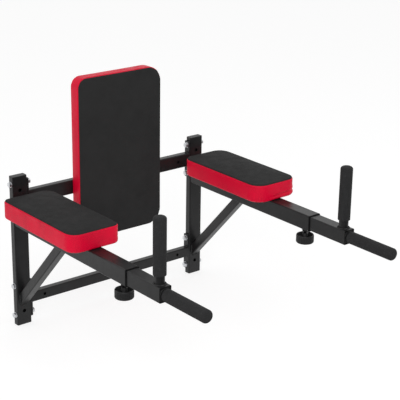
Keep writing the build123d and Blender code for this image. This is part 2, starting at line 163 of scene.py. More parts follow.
class Shader:
    """Node tree of one finish, read on a piece's own coordinates."""

    def __init__(self, name: str) -> None:
        """Start a material with its one surface node."""
        self.material = bpy.data.materials.new(name)
        self.material.use_nodes = True
        self.tree = self.material.node_tree
        self.surface = self.tree.nodes["Principled BSDF"]
        self.place = add_node(self.tree, "TexCoord", {}).outputs["Object"]

    def fix(self, **values: float) -> None:
        """Set sockets of the surface that are the same all over it."""
        for name, value in values.items():
            self.surface.inputs[name.replace("_", " ")].default_value = value

    def feed(self, name: str, source: NodeSocket) -> None:
        """Link a pattern to a socket of the surface."""
        self.tree.links.new(source, self.surface.inputs[name])

    def stretched(self, stretch: list[float]) -> NodeSocket:
        """Coordinates that are drawn out along the axes."""
        inputs = {"Vector": self.place, "Scale": [1 / part for part in stretch]}
        return add_node(self.tree, "Mapping", inputs).outputs["Vector"]

    def warped(self, size_mm: float, shift_mm: float) -> NodeSocket:
        """Coordinates that wander by a shift."""
        drift = add_node(self.tree, "TexNoise", {"Vector": self.place, "Scale": 1 / (size_mm * MM)})
        inputs = {0: drift.outputs["Color"], 1: [shift_mm * MM] * 3, 2: self.place}
        return add_node(self.tree, "VectorMath", inputs, operation="MULTIPLY_ADD").outputs["Vector"]

    def noise(self, size_mm: float, detail: float = 2.0, place: NodeSocket | None = None) -> NodeSocket:
        """Cloudy pattern.

        Args:
            size_mm: Size of one cloud.
            detail: How many finer layers it has.
            place: Coordinates to read, or None for the piece's own.

        Returns:
            The pattern, about 0.3 to 0.7.
        """
        inputs = {"Vector": place or self.place, "Scale": 1 / (size_mm * MM), "Detail": detail}
        return add_node(self.tree, "TexNoise", inputs).outputs[0]

    def cells(self, size_mm: float, feature: str, place: NodeSocket | None = None) -> NodeSocket:
        """Pattern of cells, as distance from each cell's middle or from its edge."""
        inputs = {"Vector": place or self.place, "Scale": 1 / (size_mm * MM)}
        return add_node(self.tree, "TexVoronoi", inputs, feature=feature).outputs["Distance"]

    def layers(self, axis: int, thick_mm: float) -> NodeSocket:
        """Distance along an axis from every second border between layers."""
        parts = add_node(self.tree, "SeparateXYZ", {0: self.place})
        inputs = {0: parts.outputs[axis], 1: thick_mm * MM}
        return add_node(self.tree, "Math", inputs, operation="PINGPONG").outputs["Value"]

    def spread(self, source: NodeSocket, low: float, high: float,
               reads: tuple[float, float] = CLOUDY) -> NodeSocket:
        """Pattern mapped to a range of values."""
        inputs = {"Value": source, "From Min": reads[0], "From Max": reads[1], "To Min": low, "To Max": high}
        return add_node(self.tree, "MapRange", inputs).outputs["Result"]

    def tint(self, source: NodeSocket, dark: Colour, pale: Colour,
             reads: tuple[float, float] = CLOUDY) -> NodeSocket:
        """Pattern mapped to a run between two colours."""
        node = add_node(self.tree, "ValToRGB", {"Fac": source})
        for stop, place, colour in zip(node.color_ramp.elements, reads, (dark, pale)):
            stop.position = place
            stop.color = (*colour, 1.0)
        return node.outputs["Color"]

    def sum(self, first: NodeSocket, second: NodeSocket, share: float) -> NodeSocket:
        """First pattern plus a share of the second."""
        inputs = {0: second, 1: share, 2: first}
        return add_node(self.tree, "Math", inputs, operation="MULTIPLY_ADD").outputs["Value"]

    def relief(self, height: NodeSocket, depth_mm: float) -> None:
        """Raise the surface by a pattern."""
        inputs = {"Height": height, "Distance": depth_mm * MM, "Strength": 1.0}
        self.feed("Normal", add_node(self.tree, "Bump", inputs).outputs["Normal"])


def shaded(colour: Colour, share: float) -> Colour:
    """A colour made darker or paler by a share."""
    return tuple(min(1.0, part * share) for part in colour)


@dataclass(frozen=True)
class Finish:
    """What a surface is made of; each kind paints its own pattern."""

    name: str
    colour: Colour
    rough: float

    def material(self) -> Material:
        """The finish's material, made once."""
        found = bpy.data.materials.get(self.name)
        if found:
            return found
        shader = Shader(self.name)
        self.paint(shader)
        return shader.material

    def paint(self, shader: Shader) -> None:
        """Lay the finish's pattern on a shader."""
        raise NotImplementedError


@dataclass(frozen=True)
class PowderCoat(Finish):
    """Baked powder paint: a fine orange peel and clouds of slightly changing gloss."""

    peel_mm: float = 1.1
    depth_mm: float = 0.045
    gloss: float = 0.34

    def paint(self, shader: Shader) -> None:
        """Lay the peel, the gloss and a faint mottle."""
        mottle = shader.noise(26.0, 4.0)
        shader.feed("Base Color", shader.tint(mottle, shaded(self.colour, 0.8), shaded(self.colour, 1.2)))
        shader.feed("Roughness", shader.spread(shader.noise(7.0, 3.0), self.rough - 0.05, self.rough + 0.06))
        peel = shader.sum(shader.noise(self.peel_mm, 1.0), shader.noise(3 * self.peel_mm, 1.0), 0.8)
        shader.relief(peel, self.depth_mm)
        shader.fix(IOR=1.48, Specular_IOR_Level=self.gloss)


@dataclass(frozen=True)
class PadLeather(Finish):
    """Coated leather cloth: a pebbled grain with fine cracks between the pebbles."""

    grain_mm: float = 1.7
    depth_mm: float = 0.08
    gloss: float = 0.5

    def paint(self, shader: Shader) -> None:
        """Lay the pebbles, the cracks darkened with painted shade, and the worn gloss."""
        warp = shader.warped(2.5 * self.grain_mm, 0.7 * self.grain_mm)
        pebbles = shader.cells(self.grain_mm, "DISTANCE_TO_EDGE", warp)
        domes = shader.spread(pebbles, 0.0, 1.0, (0.0, 0.28))
        # Painted shade: the colour darkens where the pebbles sink into the cracks, on top of a random mottle.
        tone = shader.sum(domes, shader.noise(70.0, 3.0), 1.4)
        dark, pale = shaded(self.colour, 0.62), shaded(self.colour, 1.12)
        shader.feed("Base Color", shader.tint(tone, dark, pale, (0.35, 1.0)))
        shader.feed("Roughness", shader.spread(shader.noise(24.0, 4.0), self.rough - 0.06, self.rough + 0.08))
        shader.relief(shader.sum(domes, shader.noise(0.5, 2.0), 0.3), self.depth_mm)
        shader.fix(IOR=1.47, Specular_IOR_Level=self.gloss)


@dataclass(frozen=True)
class GripFoam(Finish):
    """Closed-cell foam rubber with open pores in its skin."""

    pore_mm: float = 1.0

    def paint(self, shader: Shader) -> None:
        """Lay the pores, with painted shade darkening their hollows, and the dusty mottle."""
        pores = shader.cells(self.pore_mm, "F1")
        # Painted shade: the colour darkens where the pores sink, on top of a random mottle.
        tone = shader.sum(pores, shader.noise(9.0, 4.0), 0.9)
        skin, painted_pore_shade = shaded(self.colour, 1.25), shaded(self.colour, 0.7)
        shader.feed("Base Color", shader.tint(tone, skin, painted_pore_shade, (0.45, 1.15)))
        shader.feed("Roughness", shader.spread(pores, self.rough - 0.05, self.rough + 0.08, (0.2, 0.8)))
        shader.relief(shader.sum(shader.noise(0.45, 2.0), pores, -0.8), 0.22)
        shader.fix(IOR=1.4)


@dataclass(frozen=True)
class ZincPlate(Finish):
    """Bright zinc on steel, a little clouded, with fine drawing marks."""

    def paint(self, shader: Shader) -> None:
        """Lay the clouds and the marks."""
        clouds = shader.noise(5.0, 4.0)
        shader.feed("Base Color", shader.tint(clouds, shaded(self.colour, 0.86), shaded(self.colour, 1.06)))
        shader.feed("Roughness", shader.spread(shader.noise(1.6, 3.0), self.rough - 0.07, self.rough + 0.1))
        shader.relief(shader.noise(0.35, 2.0), 0.02)
        shader.fix(Metallic=1.0)


@dataclass(frozen=True)
class MouldedPlastic(Finish):
    """Plastic from a spark-eroded mould: a fine even texture and faint flow marks."""

    texture_mm: float = 0.45
    gloss: float = 0.5

    def paint(self, shader: Shader) -> None:
        """Lay the texture and the flow marks."""
        flow = shader.noise(18.0, 3.0)
        shader.feed("Base Color", shader.tint(flow, shaded(self.colour, 0.85), shaded(self.colour, 1.15)))
        shader.feed("Roughness", shader.spread(shader.noise(3.0, 3.0), self.rough - 0.04, self.rough + 0.06))
        shader.relief(shader.noise(self.texture_mm, 1.0), 0.04)
        shader.fix(IOR=1.46, Specular_IOR_Level=self.gloss)


@dataclass(frozen=True)
class BirchPly(Finish):
    """Stained plywood: long grain on its faces and thin dark glue lines across its edges."""

    layer_mm: float = 1.5
    grain_stretch: float = 14.0
    thick_axis: int = 2

    def paint(self, shader: Shader) -> None:
        """Lay the grain and the glue lines."""
        drawn = [1.0, 1.0, 1.0]
        drawn[1 if self.thick_axis == 2 else 2] = self.grain_stretch
        grain = shader.noise(3.2, 5.0, shader.stretched(drawn))
        layers = shader.layers(self.thick_axis, self.layer_mm)
        lines = shader.spread(layers, 0.0, 0.25, (0.1 * self.layer_mm * MM, 0.0))
        tone = shader.sum(grain, lines, -1.0)
        shader.feed("Base Color", shader.tint(tone, shaded(self.colour, 0.6), self.colour, (0.25, 0.65)))
        shader.feed("Roughness", shader.spread(grain, self.rough - 0.06, self.rough + 0.08))
        shader.relief(grain, 0.12)


BLACK_COAT = PowderCoat("black_powder_coat", (0.0135, 0.0135, 0.0140), 0.34)
RED_LEATHER = PadLeather("red_pad_leather", (0.70, 0.0004, 0.031), 0.42, gloss=0.18)
BLACK_LEATHER = PadLeather("black_pad_leather", (0.0230, 0.0230, 0.0232), 0.76, gloss=0.15)
GREY_FOAM = GripFoam("grip_foam", (0.026, 0.026, 0.027), 0.86)
BRIGHT_ZINC = ZincPlate("bright_zinc", (0.70, 0.71, 0.73), 0.30)
BLACK_OXIDE = ZincPlate("black_oxide", (0.055, 0.055, 0.058), 0.38)
BLACK_PLASTIC = MouldedPlastic("black_moulded_plastic", (0.0130, 0.0130, 0.0136), 0.46)
DARK_NYLON = MouldedPlastic("dark_nylon", (0.0045, 0.0045, 0.0050), 0.60, gloss=0.2)
WHITE_NYLON = MouldedPlastic("white_nylon", (0.68, 0.66, 0.60), 0.40)
LEVEL_PLY = BirchPly("stained_ply_level", (0.030, 0.026, 0.023), 0.62)
UPRIGHT_PLY = BirchPly("stained_ply_upright", (0.030, 0.026, 0.023), 0.62, thick_axis=1)


# Mesh tools


def turned(outline: list[tuple[float, float]], steps: int) -> BMesh:
    """Spin an outline round the Z axis.

    Args:
        outline: Radius and height of each point, in millimetres.
        steps: Faces round the turn.

    Returns:
        The turned mesh, closed where the outline starts and ends on the axis or meets itself.
    """
    bm = bmesh.new()
    points = [bm.verts.new((radius * MM, 0, height * MM)) for radius, height in outline]
    edges = [bm.edges.new(pair) for pair in zip(points, points[1:])]
    bmesh.ops.spin(bm, geom=points + edges, cent=(0, 0, 0), axis=UP, dvec=(0, 0, 0), angle=FULL_TURN,
                   steps=steps, use_merge=True)
    bmesh.ops.remove_doubles(bm, verts=bm.verts, dist=1e-6)
    bmesh.ops.dissolve_degenerate(bm, edges=bm.edges, dist=1e-7)
    bmesh.ops.recalc_face_normals(bm, faces=bm.faces)
    return bm


def soften(bm: BMesh, offset_mm: float, segments: int = 2, turn_deg: float = 30.0) -> None:
    """Bevel every edge that turns by more than an angle."""
    sharp = [e for e in bm.edges if len(e.link_faces) == 2 and e.calc_face_angle() > math.radians(turn_deg)]
    bmesh.ops.bevel(bm, geom=sharp, offset=offset_mm * MM, offset_type="OFFSET", segments=segments,
                    profile=0.5, affect="EDGES", material=-1, clamp_overlap=True)


def settle(bm: BMesh, place: Vector, direction: Vector = UP) -> None:
    """Turn a mesh's Z axis along a direction and move its origin to a place."""
    turn = direction.to_track_quat("Z", "Y").to_matrix().to_4x4()
    bmesh.ops.transform(bm, matrix=Matrix.Translation(place) @ turn, verts=bm.verts)


def baked(name: str, bm: BMesh) -> Mesh:
    """Mesh data made from a bmesh, which is freed."""
    mesh = bpy.data.meshes.new(name)
    bm.to_mesh(mesh)
    bm.free()
    return mesh


def show(name: str, data: ID) -> Object:
    """New object in the scene, at the origin."""
    thing = bpy.data.objects.new(name, data)
    bpy.context.scene.collection.objects.link(thing)
    return thing


def add(target: BMesh, extra: BMesh) -> None:
    """Put one mesh into another, and free it."""
    carrier = baked("carrier", extra)
    target.from_mesh(carrier)
    bpy.data.meshes.remove(carrier)


def hexagon(flats_mm: float, height_mm: float) -> BMesh:
    """Six-sided block that stands on the origin, with softened edges."""
    bm = bmesh.new()
    radius = flats_mm * MM / math.sqrt(3)
    height = height_mm * MM
    bmesh.ops.create_cone(bm, cap_ends=True, segments=6, radius1=radius, radius2=radius, depth=height,
                          matrix=Matrix.Translation((0, 0, height / 2)))
    soften(bm, offset_mm=0.5, segments=3)
    return bm


def thread(radius_mm: float, pitch_mm: float, length_mm: float, steps: int = 24) -> BMesh:
    """Threaded rod that stands on the origin: a ridge spun along a helix, cut flat at both ends."""
    root = radius_mm - THREAD_DEPTH * pitch_mm
    # Radius, and height as a share of the pitch.
    ridge = [(root, 0.0), (root, 0.12), (radius_mm, 0.48), (radius_mm, 0.64), (root, 1.0)]
    turns = math.ceil(length_mm / pitch_mm) + 2
    bm = bmesh.new()
    points = [bm.verts.new((radius * MM, 0, (share - 2) * pitch_mm * MM)) for radius, share in ridge]
    edges = [bm.edges.new(pair) for pair in zip(points, points[1:])]
    bmesh.ops.spin(bm, geom=points + edges, cent=(0, 0, 0), axis=UP, dvec=UP * pitch_mm * MM / steps,
                   angle=FULL_TURN * turns, steps=steps * turns)
    bmesh.ops.remove_doubles(bm, verts=bm.verts, dist=1e-6)
    for height, outward in ((0.0, DOWN), (length_mm * MM, UP)):
        everything = bm.verts[:] + bm.edges[:] + bm.faces[:]
        bmesh.ops.bisect_plane(bm, geom=everything, dist=1e-7, plane_co=UP * height, plane_no=outward,
                               clear_outer=True)
        rim = [e for e in bm.edges if e.is_boundary and all(abs(v.co.z - height) < 1e-6 for v in e.verts)]
        bmesh.ops.holes_fill(bm, edges=rim, sides=0)
    bmesh.ops.recalc_face_normals(bm, faces=bm.faces)
    return bm


def bead(start: Vector, end: Vector, radius_mm: float, pitch_mm: float = 2.4) -> BMesh:
    """Straight weld bead, with a ripple for each pool of metal.

    Args:
        start: One end of the joint.
        end: The other end of the joint.
        radius_mm: Half the bead's width.
        pitch_mm: From one ripple to the next.

    Returns:
        The bead, round on all sides, with its middle on the line between the two ends.
    """
    length = (end - start).length
    bm = bmesh.new()
    radius = radius_mm * MM
    bmesh.ops.create_cone(bm, cap_ends=True, segments=BEAD_SIDES, radius1=radius, radius2=radius,
                          depth=length)
    along = [e for e in bm.edges if abs(e.verts[0].co.z - e.verts[1].co.z) > length / 2]
    pitch = pitch_mm * MM
    bmesh.ops.subdivide_edges(bm, edges=along, cuts=round(4 * length / pitch), use_grid_fill=True)
    for v in bm.verts:
        ripple = 1 + BEAD_RIPPLE * math.cos(FULL_TURN * v.co.z / pitch)
        taper = math.sqrt(1.02 - (2 * abs(v.co.z) / length) ** 12)
        v.co.x *= ripple * taper
        v.co.y *= ripple * taper
    settle(bm, (start + end) / 2, (end - start).normalized())
    return bm


def ring_bead(place: Vector, direction: Vector, radius_mm: float, width_mm: float,
              ripples: int = 32) -> BMesh:
    """Weld bead round a tube or a nut, with the same ripples."""
    bm = bmesh.new()
    section = Matrix.Translation((radius_mm * MM, 0, 0)) @ Matrix.Rotation(math.pi / 2, 4, "X")
    loop = bmesh.ops.create_circle(bm, cap_ends=False, segments=BEAD_SIDES, radius=width_mm * MM,
                                   matrix=section)
    bmesh.ops.spin(bm, geom=loop["verts"] + bm.edges[:], cent=(0, 0, 0), axis=UP, dvec=(0, 0, 0),
                   angle=FULL_TURN, steps=4 * ripples, use_merge=True)
    bmesh.ops.remove_doubles(bm, verts=bm.verts, dist=1e-7)
    for v in bm.verts:
        flat = Vector((v.co.x, v.co.y, 0))
        middle = flat.normalized() * radius_mm * MM
        ripple = 1 + BEAD_RIPPLE * math.cos(ripples * math.atan2(v.co.y, v.co.x))
        v.co = middle + (v.co - middle) * ripple
    bmesh.ops.recalc_face_normals(bm, faces=bm.faces)
    settle(bm, place, direction)
    return bm


def make_piece(name: str, bm: BMesh, finishes: list[Finish], body: str,
               stands_for: tuple[str, ...] = (), crease_deg: float = 40.0) -> Object:
    """Make a mesh into a piece of the station.

    Args:
        name: The piece's name.
        bm: Its mesh, in place; it is freed.
        finishes: Its finishes, in the order of its faces' material numbers.
        body: The body that it moves with.
        stands_for: Nodes that it is shown in place of.
        crease_deg: Edges that turn by more than this stay crisp.

    Returns:
        The new object.
    """
    mesh = baked(name, bm)
    for finish in finishes:
        mesh.materials.append(finish.material())
    mesh.shade_smooth()
    mesh.set_sharp_from_angle(angle=math.radians(crease_deg))
    piece = show(name, mesh)
    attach(piece, body)
    if stands_for:
        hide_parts(*stands_for)
    LOG.info("%s: %d faces on %s", name, len(mesh.polygons), body)
    return piece


def dress(frame: dict, finish: Finish, *nodes: str) -> None:
    """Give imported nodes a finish."""
    for node in nodes:
        for slot in frame["nodes"][node].material_slots:
            slot.material = finish.material()
        LOG.info("%s: %s", node, finish.name)


def bell(off: float, width: float) -> float:
    """Smooth bump, 1 in its middle."""
    return math.exp(-(off / width) ** 2)


def middle_of(node: str) -> Vector:
    """Centre of a node's box."""
    low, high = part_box(node)
    return (low + high) / 2


# Sub-assemblies


@dataclass
class WallFrame:
    """Uprights, crossbars and flanges on the wall, with the bolts that join them."""

    frame: dict
    bolt_flats_mm: float = 13.0
    bolt_radius_mm: float = 4.0
    bolt_pitch_mm: float = 1.25
    washer_radius_mm: float = 8.0
    nut_mm: float = 6.5
    tail_mm: float = 1.0          # thread past the nut
    sunk_mm: float = 2.0          # thread inside the flange
    boss_mm: float = 0.25         # height of the boss on a bolt's head
    washer_gap_mm: float = 0.25   # between a bolt and its washer
    washer_edge_mm: float = 0.25
    bead_mm: float = 2.1
    bead_margin_mm: float = 2.5

    def dress(self) -> None:
        """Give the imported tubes, plates and caps their finishes."""
        for side in Side:
            dress(self.frame, BLACK_COAT, f"{side.value}_upright", f"upper_{side.value}_flange",
                  f"lower_{side.value}_flange")
            dress(self.frame, BLACK_PLASTIC, f"{side.value}_upright_caps")
        dress(self.frame, BLACK_COAT, "upper_crossbar", "lower_crossbar")

    def bolt_places(self) -> list[tuple[float, float, float]]:
        """Side (-1 or 1), depth and height of each bolt, read from the flanges that it goes through."""
        places = []
        for sign, side in ((-1, Side.LEFT), (1, Side.RIGHT)):
            for level in ("upper", "lower"):
                centre = middle_of(f"{level}_{side.value}_flange")
                for step in (-0.5, 0.5):
                    places.append((sign, centre.y, centre.z + step * self.bolt_spread()))
        return places

    def bolt_spread(self) -> float:
        """Distance between a flange's two bolts, read from the washers' box."""
        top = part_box("flange_washers")[1].z - self.washer_radius_mm * MM
        return 2 * (top - middle_of("upper_left_flange").z)

    def build_fasteners(self) -> None:
        """Make the bolts, washers and nuts, each kind as one set."""
        bolts, washers, nuts = bmesh.new(), bmesh.new(), bmesh.new()
        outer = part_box("right_upright")[1].x
        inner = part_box("upper_right_flange")[0].x
        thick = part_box("flange_washers")[1].x - outer
        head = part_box("flange_bolts")[1].x - outer - thick
        for sign, y, z in self.bolt_places():
            outward = RIGHT * sign
            add(bolts, self.bolt_head(Vector((sign * (outer + thick), y, z)), outward, head))
            add(bolts, self.bolt_tail(Vector((sign * inner, y, z)), -outward, thick))
            for face, way in ((outer, outward), (inner, -outward)):
                washer = self.washer(thick / MM)
                settle(washer, Vector((sign * face, y, z)), way)
                add(washers, washer)
            nut = hexagon(self.bolt_flats_mm, self.nut_mm)
            settle(nut, Vector((sign * (inner - thick), y, z)), -outward)
            add(nuts, nut)
        make_piece("flange_bolt_set", bolts, [BRIGHT_ZINC], "frame", ("flange_bolts",))
        make_piece("flange_washer_set", washers, [BRIGHT_ZINC], "frame", ("flange_washers",))
        make_piece("flange_nut_set", nuts, [BRIGHT_ZINC], "frame", ("flange_nuts",))

    def bolt_head(self, seat: Vector, outward: Vector, height: float) -> BMesh:
        """Bolt head with a shallow round boss on its top."""
        bm = hexagon(self.bolt_flats_mm, height / MM)
        foot, top = 0.46 * self.bolt_flats_mm, 0.44 * self.bolt_flats_mm
        boss = turned([(0.0, 0.0), (foot, 0.0), (top, self.boss_mm), (0.0, self.boss_mm)], steps=32)
        settle(boss, UP * height)
        add(bm, boss)
        settle(bm, seat, outward)
        return bm

    def bolt_tail(self, flange: Vector, inward: Vector, washer: float) -> BMesh:
        """Threaded end of a bolt, from inside the flange to just past the nut."""
        start = self.sunk_mm * MM
        length_mm = (start + washer) / MM + self.nut_mm + self.tail_mm
        bm = thread(self.bolt_radius_mm, self.bolt_pitch_mm, length_mm)
        settle(bm, flange - inward * start, inward)
        return bm

    def washer(self, thick_mm: float) -> BMesh:
        """One plain washer with softened edges."""
        bore, rim = self.bolt_radius_mm + self.washer_gap_mm, self.washer_radius_mm
        bm = turned([(bore, 0.0), (rim, 0.0), (rim, thick_mm), (bore, thick_mm), (bore, 0.0)], steps=40)
        soften(bm, self.washer_edge_mm)
        return bm

    def build_welds(self) -> None:
        """Run a bead along the top and the bottom of each crossbar's end."""
        beads = bmesh.new()
        for level in ("upper", "lower"):
            low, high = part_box(f"{level}_crossbar")
            rear = high.y - self.bead_margin_mm * MM
            front = low.y + self.bead_margin_mm * MM
            for x in (low.x, high.x):
                for z in (low.z, high.z):
                    add(beads, bead(Vector((x, rear, z)), Vector((x, front, z)), self.bead_mm))
        make_piece("crossbar_welds", beads, [BLACK_COAT], "frame")

    def build(self) -> None:
        """Dress the frame and add its fasteners and welds."""
        self.dress()
        self.build_fasteners()
        self.build_welds()


@dataclass
class Arm:
    """Outer arm with its brace, slide bush and clamp nut."""

    frame: dict
    side: Side
    bead_mm: float = 2.4
    stand_mm: float = 1.2         # from the arm's face to the middle of a bead on it
    nut_bead_mm: float = 1.2
    corner_mm: float = 3.0

    def build(self) -> None:
        """Dress the arm and run its weld beads."""
        name = self.side.value
        dress(self.frame, BLACK_COAT, f"{name}_arm_tube", f"{name}_brace", f"{name}_clamp_nut")
        dress(self.frame, DARK_NYLON, f"{name}_slide_bush")
        beads = bmesh.new()
        for start, end in self.joints():
            add(beads, bead(start, end, self.bead_mm))
        low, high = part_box(f"{name}_clamp_nut")
        centre = (low + high) / 2
        across = (high.x - low.x) / MM / 2
        add(beads, ring_bead(Vector((centre.x, centre.y, high.z)), DOWN, across, self.nut_bead_mm))
        make_piece(f"{name}_arm_welds", beads, [BLACK_COAT], "frame")

    def joints(self) -> list[tuple[Vector, Vector]]:
        """Ends of each straight bead: the arm's root, the brace's foot and the brace's head."""
        arm_low, arm_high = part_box(f"{self.side.value}_arm_tube")
        low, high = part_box(f"{self.side.value}_brace")
        inset, stand = self.corner_mm * MM, self.stand_mm * MM
        root, under = arm_high.y, high.z - stand
        foot_top = low.z + self.brace_end(1, 2)
        head_back = low.y + self.brace_end(2, 1)
        lines = []
        for z in (arm_low.z - stand, arm_high.z + stand):
            lines.append((Vector((arm_low.x + inset, root, z)), Vector((arm_high.x - inset, root, z))))
        for y, z in ((high.y, low.z), (high.y, foot_top), (low.y, under), (head_back, under)):
            lines.append((Vector((low.x + inset, y, z)), Vector((high.x - inset, y, z))))
        for x in (low.x, high.x):
            lines.append((Vector((x, high.y, low.z + inset)), Vector((x, high.y, foot_top - inset))))
            lines.append((Vector((x, low.y + inset, under)), Vector((x, head_back - inset, under))))
        return lines

    def brace_end(self, across: int, along: int) -> float:
        """Length of one end of the brace.

        Args:
            across: Axis that the end's face looks along.
            along: Axis that the length is measured on.

        Returns:
            The length.
        """
        node = f"{self.side.value}_brace"
        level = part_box(node)[1][across]
        corners = self.frame["nodes"][node].data.vertices
        places = [v.co[along] for v in corners if abs(v.co[across] - level) < 0.1 * MM]
        return max(places) - min(places)


@dataclass
class Extension:
    """Sliding tube with a dip handle and a vertical handle, each in a foam grip."""

    frame: dict
    side: Side
    bore_share: float = 0.83      # a grip's bore, of its outside
    lip_mm: float = 1.4           # rounding of a grip's open end
    round_mm: float = 8.0         # rounding of its closed end
    rise_share: float = 0.88      # part of that end's height that the rounding takes
    end_mm: float = 4.0           # foam between a grip's bore and its end
    bead_mm: float = 2.9
    steps: int = 72               # faces round a grip

    def build(self) -> None:
        """Dress the tubes, sleeve the handles and weld them on."""
        name = self.side.value
        dress(self.frame, BLACK_COAT, f"{name}_extension_tube", f"{name}_end_plate", f"{name}_dip_handle",
              f"{name}_vertical_handle")
        dress(self.frame, BLACK_PLASTIC, f"{name}_slide_plug")
        self.sleeve(f"{name}_dip_grip", FRONT)
        self.sleeve(f"{name}_vertical_grip", UP)
        self.weld()

    def sleeve(self, node: str, direction: Vector) -> None:
        """Make one foam grip: a bore, a rounded lip, a straight body and a domed end."""
        low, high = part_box(node)
        axis = 2 if direction is UP else 1
        length = (high - low)[axis] / MM
        radius = (high - low).x / MM / 2
        bore, deep = self.bore_share * radius, length - self.end_mm
        outline = [(0.0, deep), (bore, deep), (bore, 0.0), (radius - self.lip_mm, 0.0)]
        for step in range(1, 5):
            turn = math.pi / 2 * step / 4
            outline.append((radius - self.lip_mm * (1 - math.sin(turn)), self.lip_mm * (1 - math.cos(turn))))
        straight, rise = length - self.round_mm, self.rise_share * self.round_mm
        for step in range(9):
            turn = math.pi / 2 * step / 8
            outline.append((radius - self.round_mm * (1 - math.cos(turn)), straight + rise * math.sin(turn)))
        edge = radius - self.round_mm
        for share in (0.66, 0.33, 0.0):
            outline.append((edge * share, length - (self.round_mm - rise) * share ** 2))
        bm = turned(outline, self.steps)
        centre = (low + high) / 2
        start = Vector((centre.x, high.y, centre.z)) if axis == 1 else Vector((centre.x, centre.y, low.z))
        settle(bm, start, direction)
        make_piece(f"{node}_foam", bm, [GREY_FOAM], f"{self.side.value}_extension", (node,),
                   crease_deg=60.0)

    def weld(self) -> None:
        """Run a bead round the foot of each handle."""
        name = self.side.value
        low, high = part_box(f"{name}_vertical_handle")
        foot = Vector(((low.x + high.x) / 2, (low.y + high.y) / 2, low.z))
        radius = (high.x - low.x) / MM / 2
        beads = ring_bead(foot, UP, radius + 0.4 * self.bead_mm, self.bead_mm)
        plate = middle_of(f"{name}_end_plate")
        plate.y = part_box(f"{name}_end_plate")[0].y
        add(beads, ring_bead(plate, FRONT, radius + 0.3 * self.bead_mm, 0.7 * self.bead_mm))
        make_piece(f"{name}_handle_welds", beads, [BLACK_COAT], f"{name}_extension")


@dataclass
class Clamp:
    """Fluted cup knob on a threaded screw, with its soft slug."""

    frame: dict
    side: Side
    flutes: int = 30
    flute_mm: float = 0.9
    pitch_mm: float = 1.5
    band_mm: float = 23.0         # height of the outer band
    dish_mm: float = 12.0
    wall_mm: float = 3.0
    hub_mm: float = 8.0           # the hub's radius
    foot_mm: float = 4.0          # rounding under the outer band

    def build(self) -> None:
        """Make the knob and the screw, and dress the slug."""
        name = self.side.value
        dress(self.frame, WHITE_NYLON, f"{name}_clamp_slug")
        self.make_knob()
        low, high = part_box(f"{name}_clamp_screw")
        centre = (low + high) / 2
        screw = thread((high.x - low.x) / MM / 2, self.pitch_mm, (high.z - low.z) / MM)
        settle(screw, Vector((centre.x, centre.y, low.z)))
        make_piece(f"{name}_clamp_thread", screw, [BLACK_OXIDE], f"{name}_clamp",
                   (f"{name}_clamp_screw",), crease_deg=25.0)

    def make_knob(self) -> None:
        """Turn the knob's cup and press its flutes."""
        name = self.side.value
        low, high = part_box(f"{name}_clamp_knob")
        radius = (high.x - low.x) / MM / 2
        bm = turned(self.cup(radius, (high.z - low.z) / MM), 6 * self.flutes)
        for v in bm.verts:
            reach = math.hypot(v.co.x, v.co.y) / MM
            lift = v.co.z / MM
            fade = min(1.0, lift / self.foot_mm, (self.band_mm - lift) / self.wall_mm)
            if reach < radius - self.wall_mm / 2 or fade <= 0:
                continue
            press = max(0.0, math.cos(self.flutes * math.atan2(v.co.y, v.co.x))) ** 1.5
            share = 1 - self.flute_mm * press * fade / reach
            v.co.x *= share
            v.co.y *= share
        centre = (low + high) / 2
        settle(bm, Vector((centre.x, centre.y, low.z)))
        make_piece(f"{name}_knob_moulding", bm, [BLACK_PLASTIC], f"{name}_clamp",
                   (f"{name}_clamp_knob",), crease_deg=50.0)

    def cup(self, radius: float, total: float) -> list[tuple[float, float]]:
        """Outline of the knob, from its hub over the rim to the middle of its underside."""
        rim, hub, wall = self.band_mm, self.hub_mm, radius - self.wall_mm
        well = rim - self.dish_mm
        outline = [(0.0, total - 1.0), (5.0, total - 1.0), (5.0, total), (hub - 1.0, total)]
        outline += [(hub - 0.3, total - 0.3), (hub, total - 1.0), (hub, well + 1.4), (hub + 0.6, well + 0.4)]
        outline += [(hub + 1.8, well), (wall - 2.0, well), (wall - 0.6, well + 0.6), (wall, well + 1.8)]
        outline += [(wall + 0.1, rim - 0.8), (wall + 0.5, rim - 0.1), (wall + 1.2, rim)]
        outline += [(radius - 1.0, rim - 0.3), (radius - 0.4, rim - 1.3), (radius, rim - 3.2)]
        foot = self.foot_mm
        outline += [(radius, foot + (rim - 3.2 - foot) * share) for share in (0.8, 0.6, 0.4, 0.2)]
        for step in range(7):
            turn = math.pi / 2 * step / 6
            outline.append((radius - foot * (1 - math.cos(turn)), foot * (1 - math.sin(turn))))
        return outline + [(radius - 8.0, 0.0), (radius - 9.0, 0.8), (radius - 11.0, 1.1), (0.0, 1.1)]


@dataclass(frozen=True)
class Corners:
    """Radius of each corner of a pad in millimetres, on the pad's own axes."""

    front_left: float
    front_right: float
    back_right: float
    back_left: float

    def at(self, place: Vector) -> float:
        """Radius of the corner in whose quarter of the pad a place lies."""
        if place.y < 0:
            return self.front_left if place.x < 0 else self.front_right
        return self.back_left if place.x < 0 else self.back_right

    def largest(self) -> float:
        """The widest of the four radii."""
        return max(self.front_left, self.front_right, self.back_right, self.back_left)


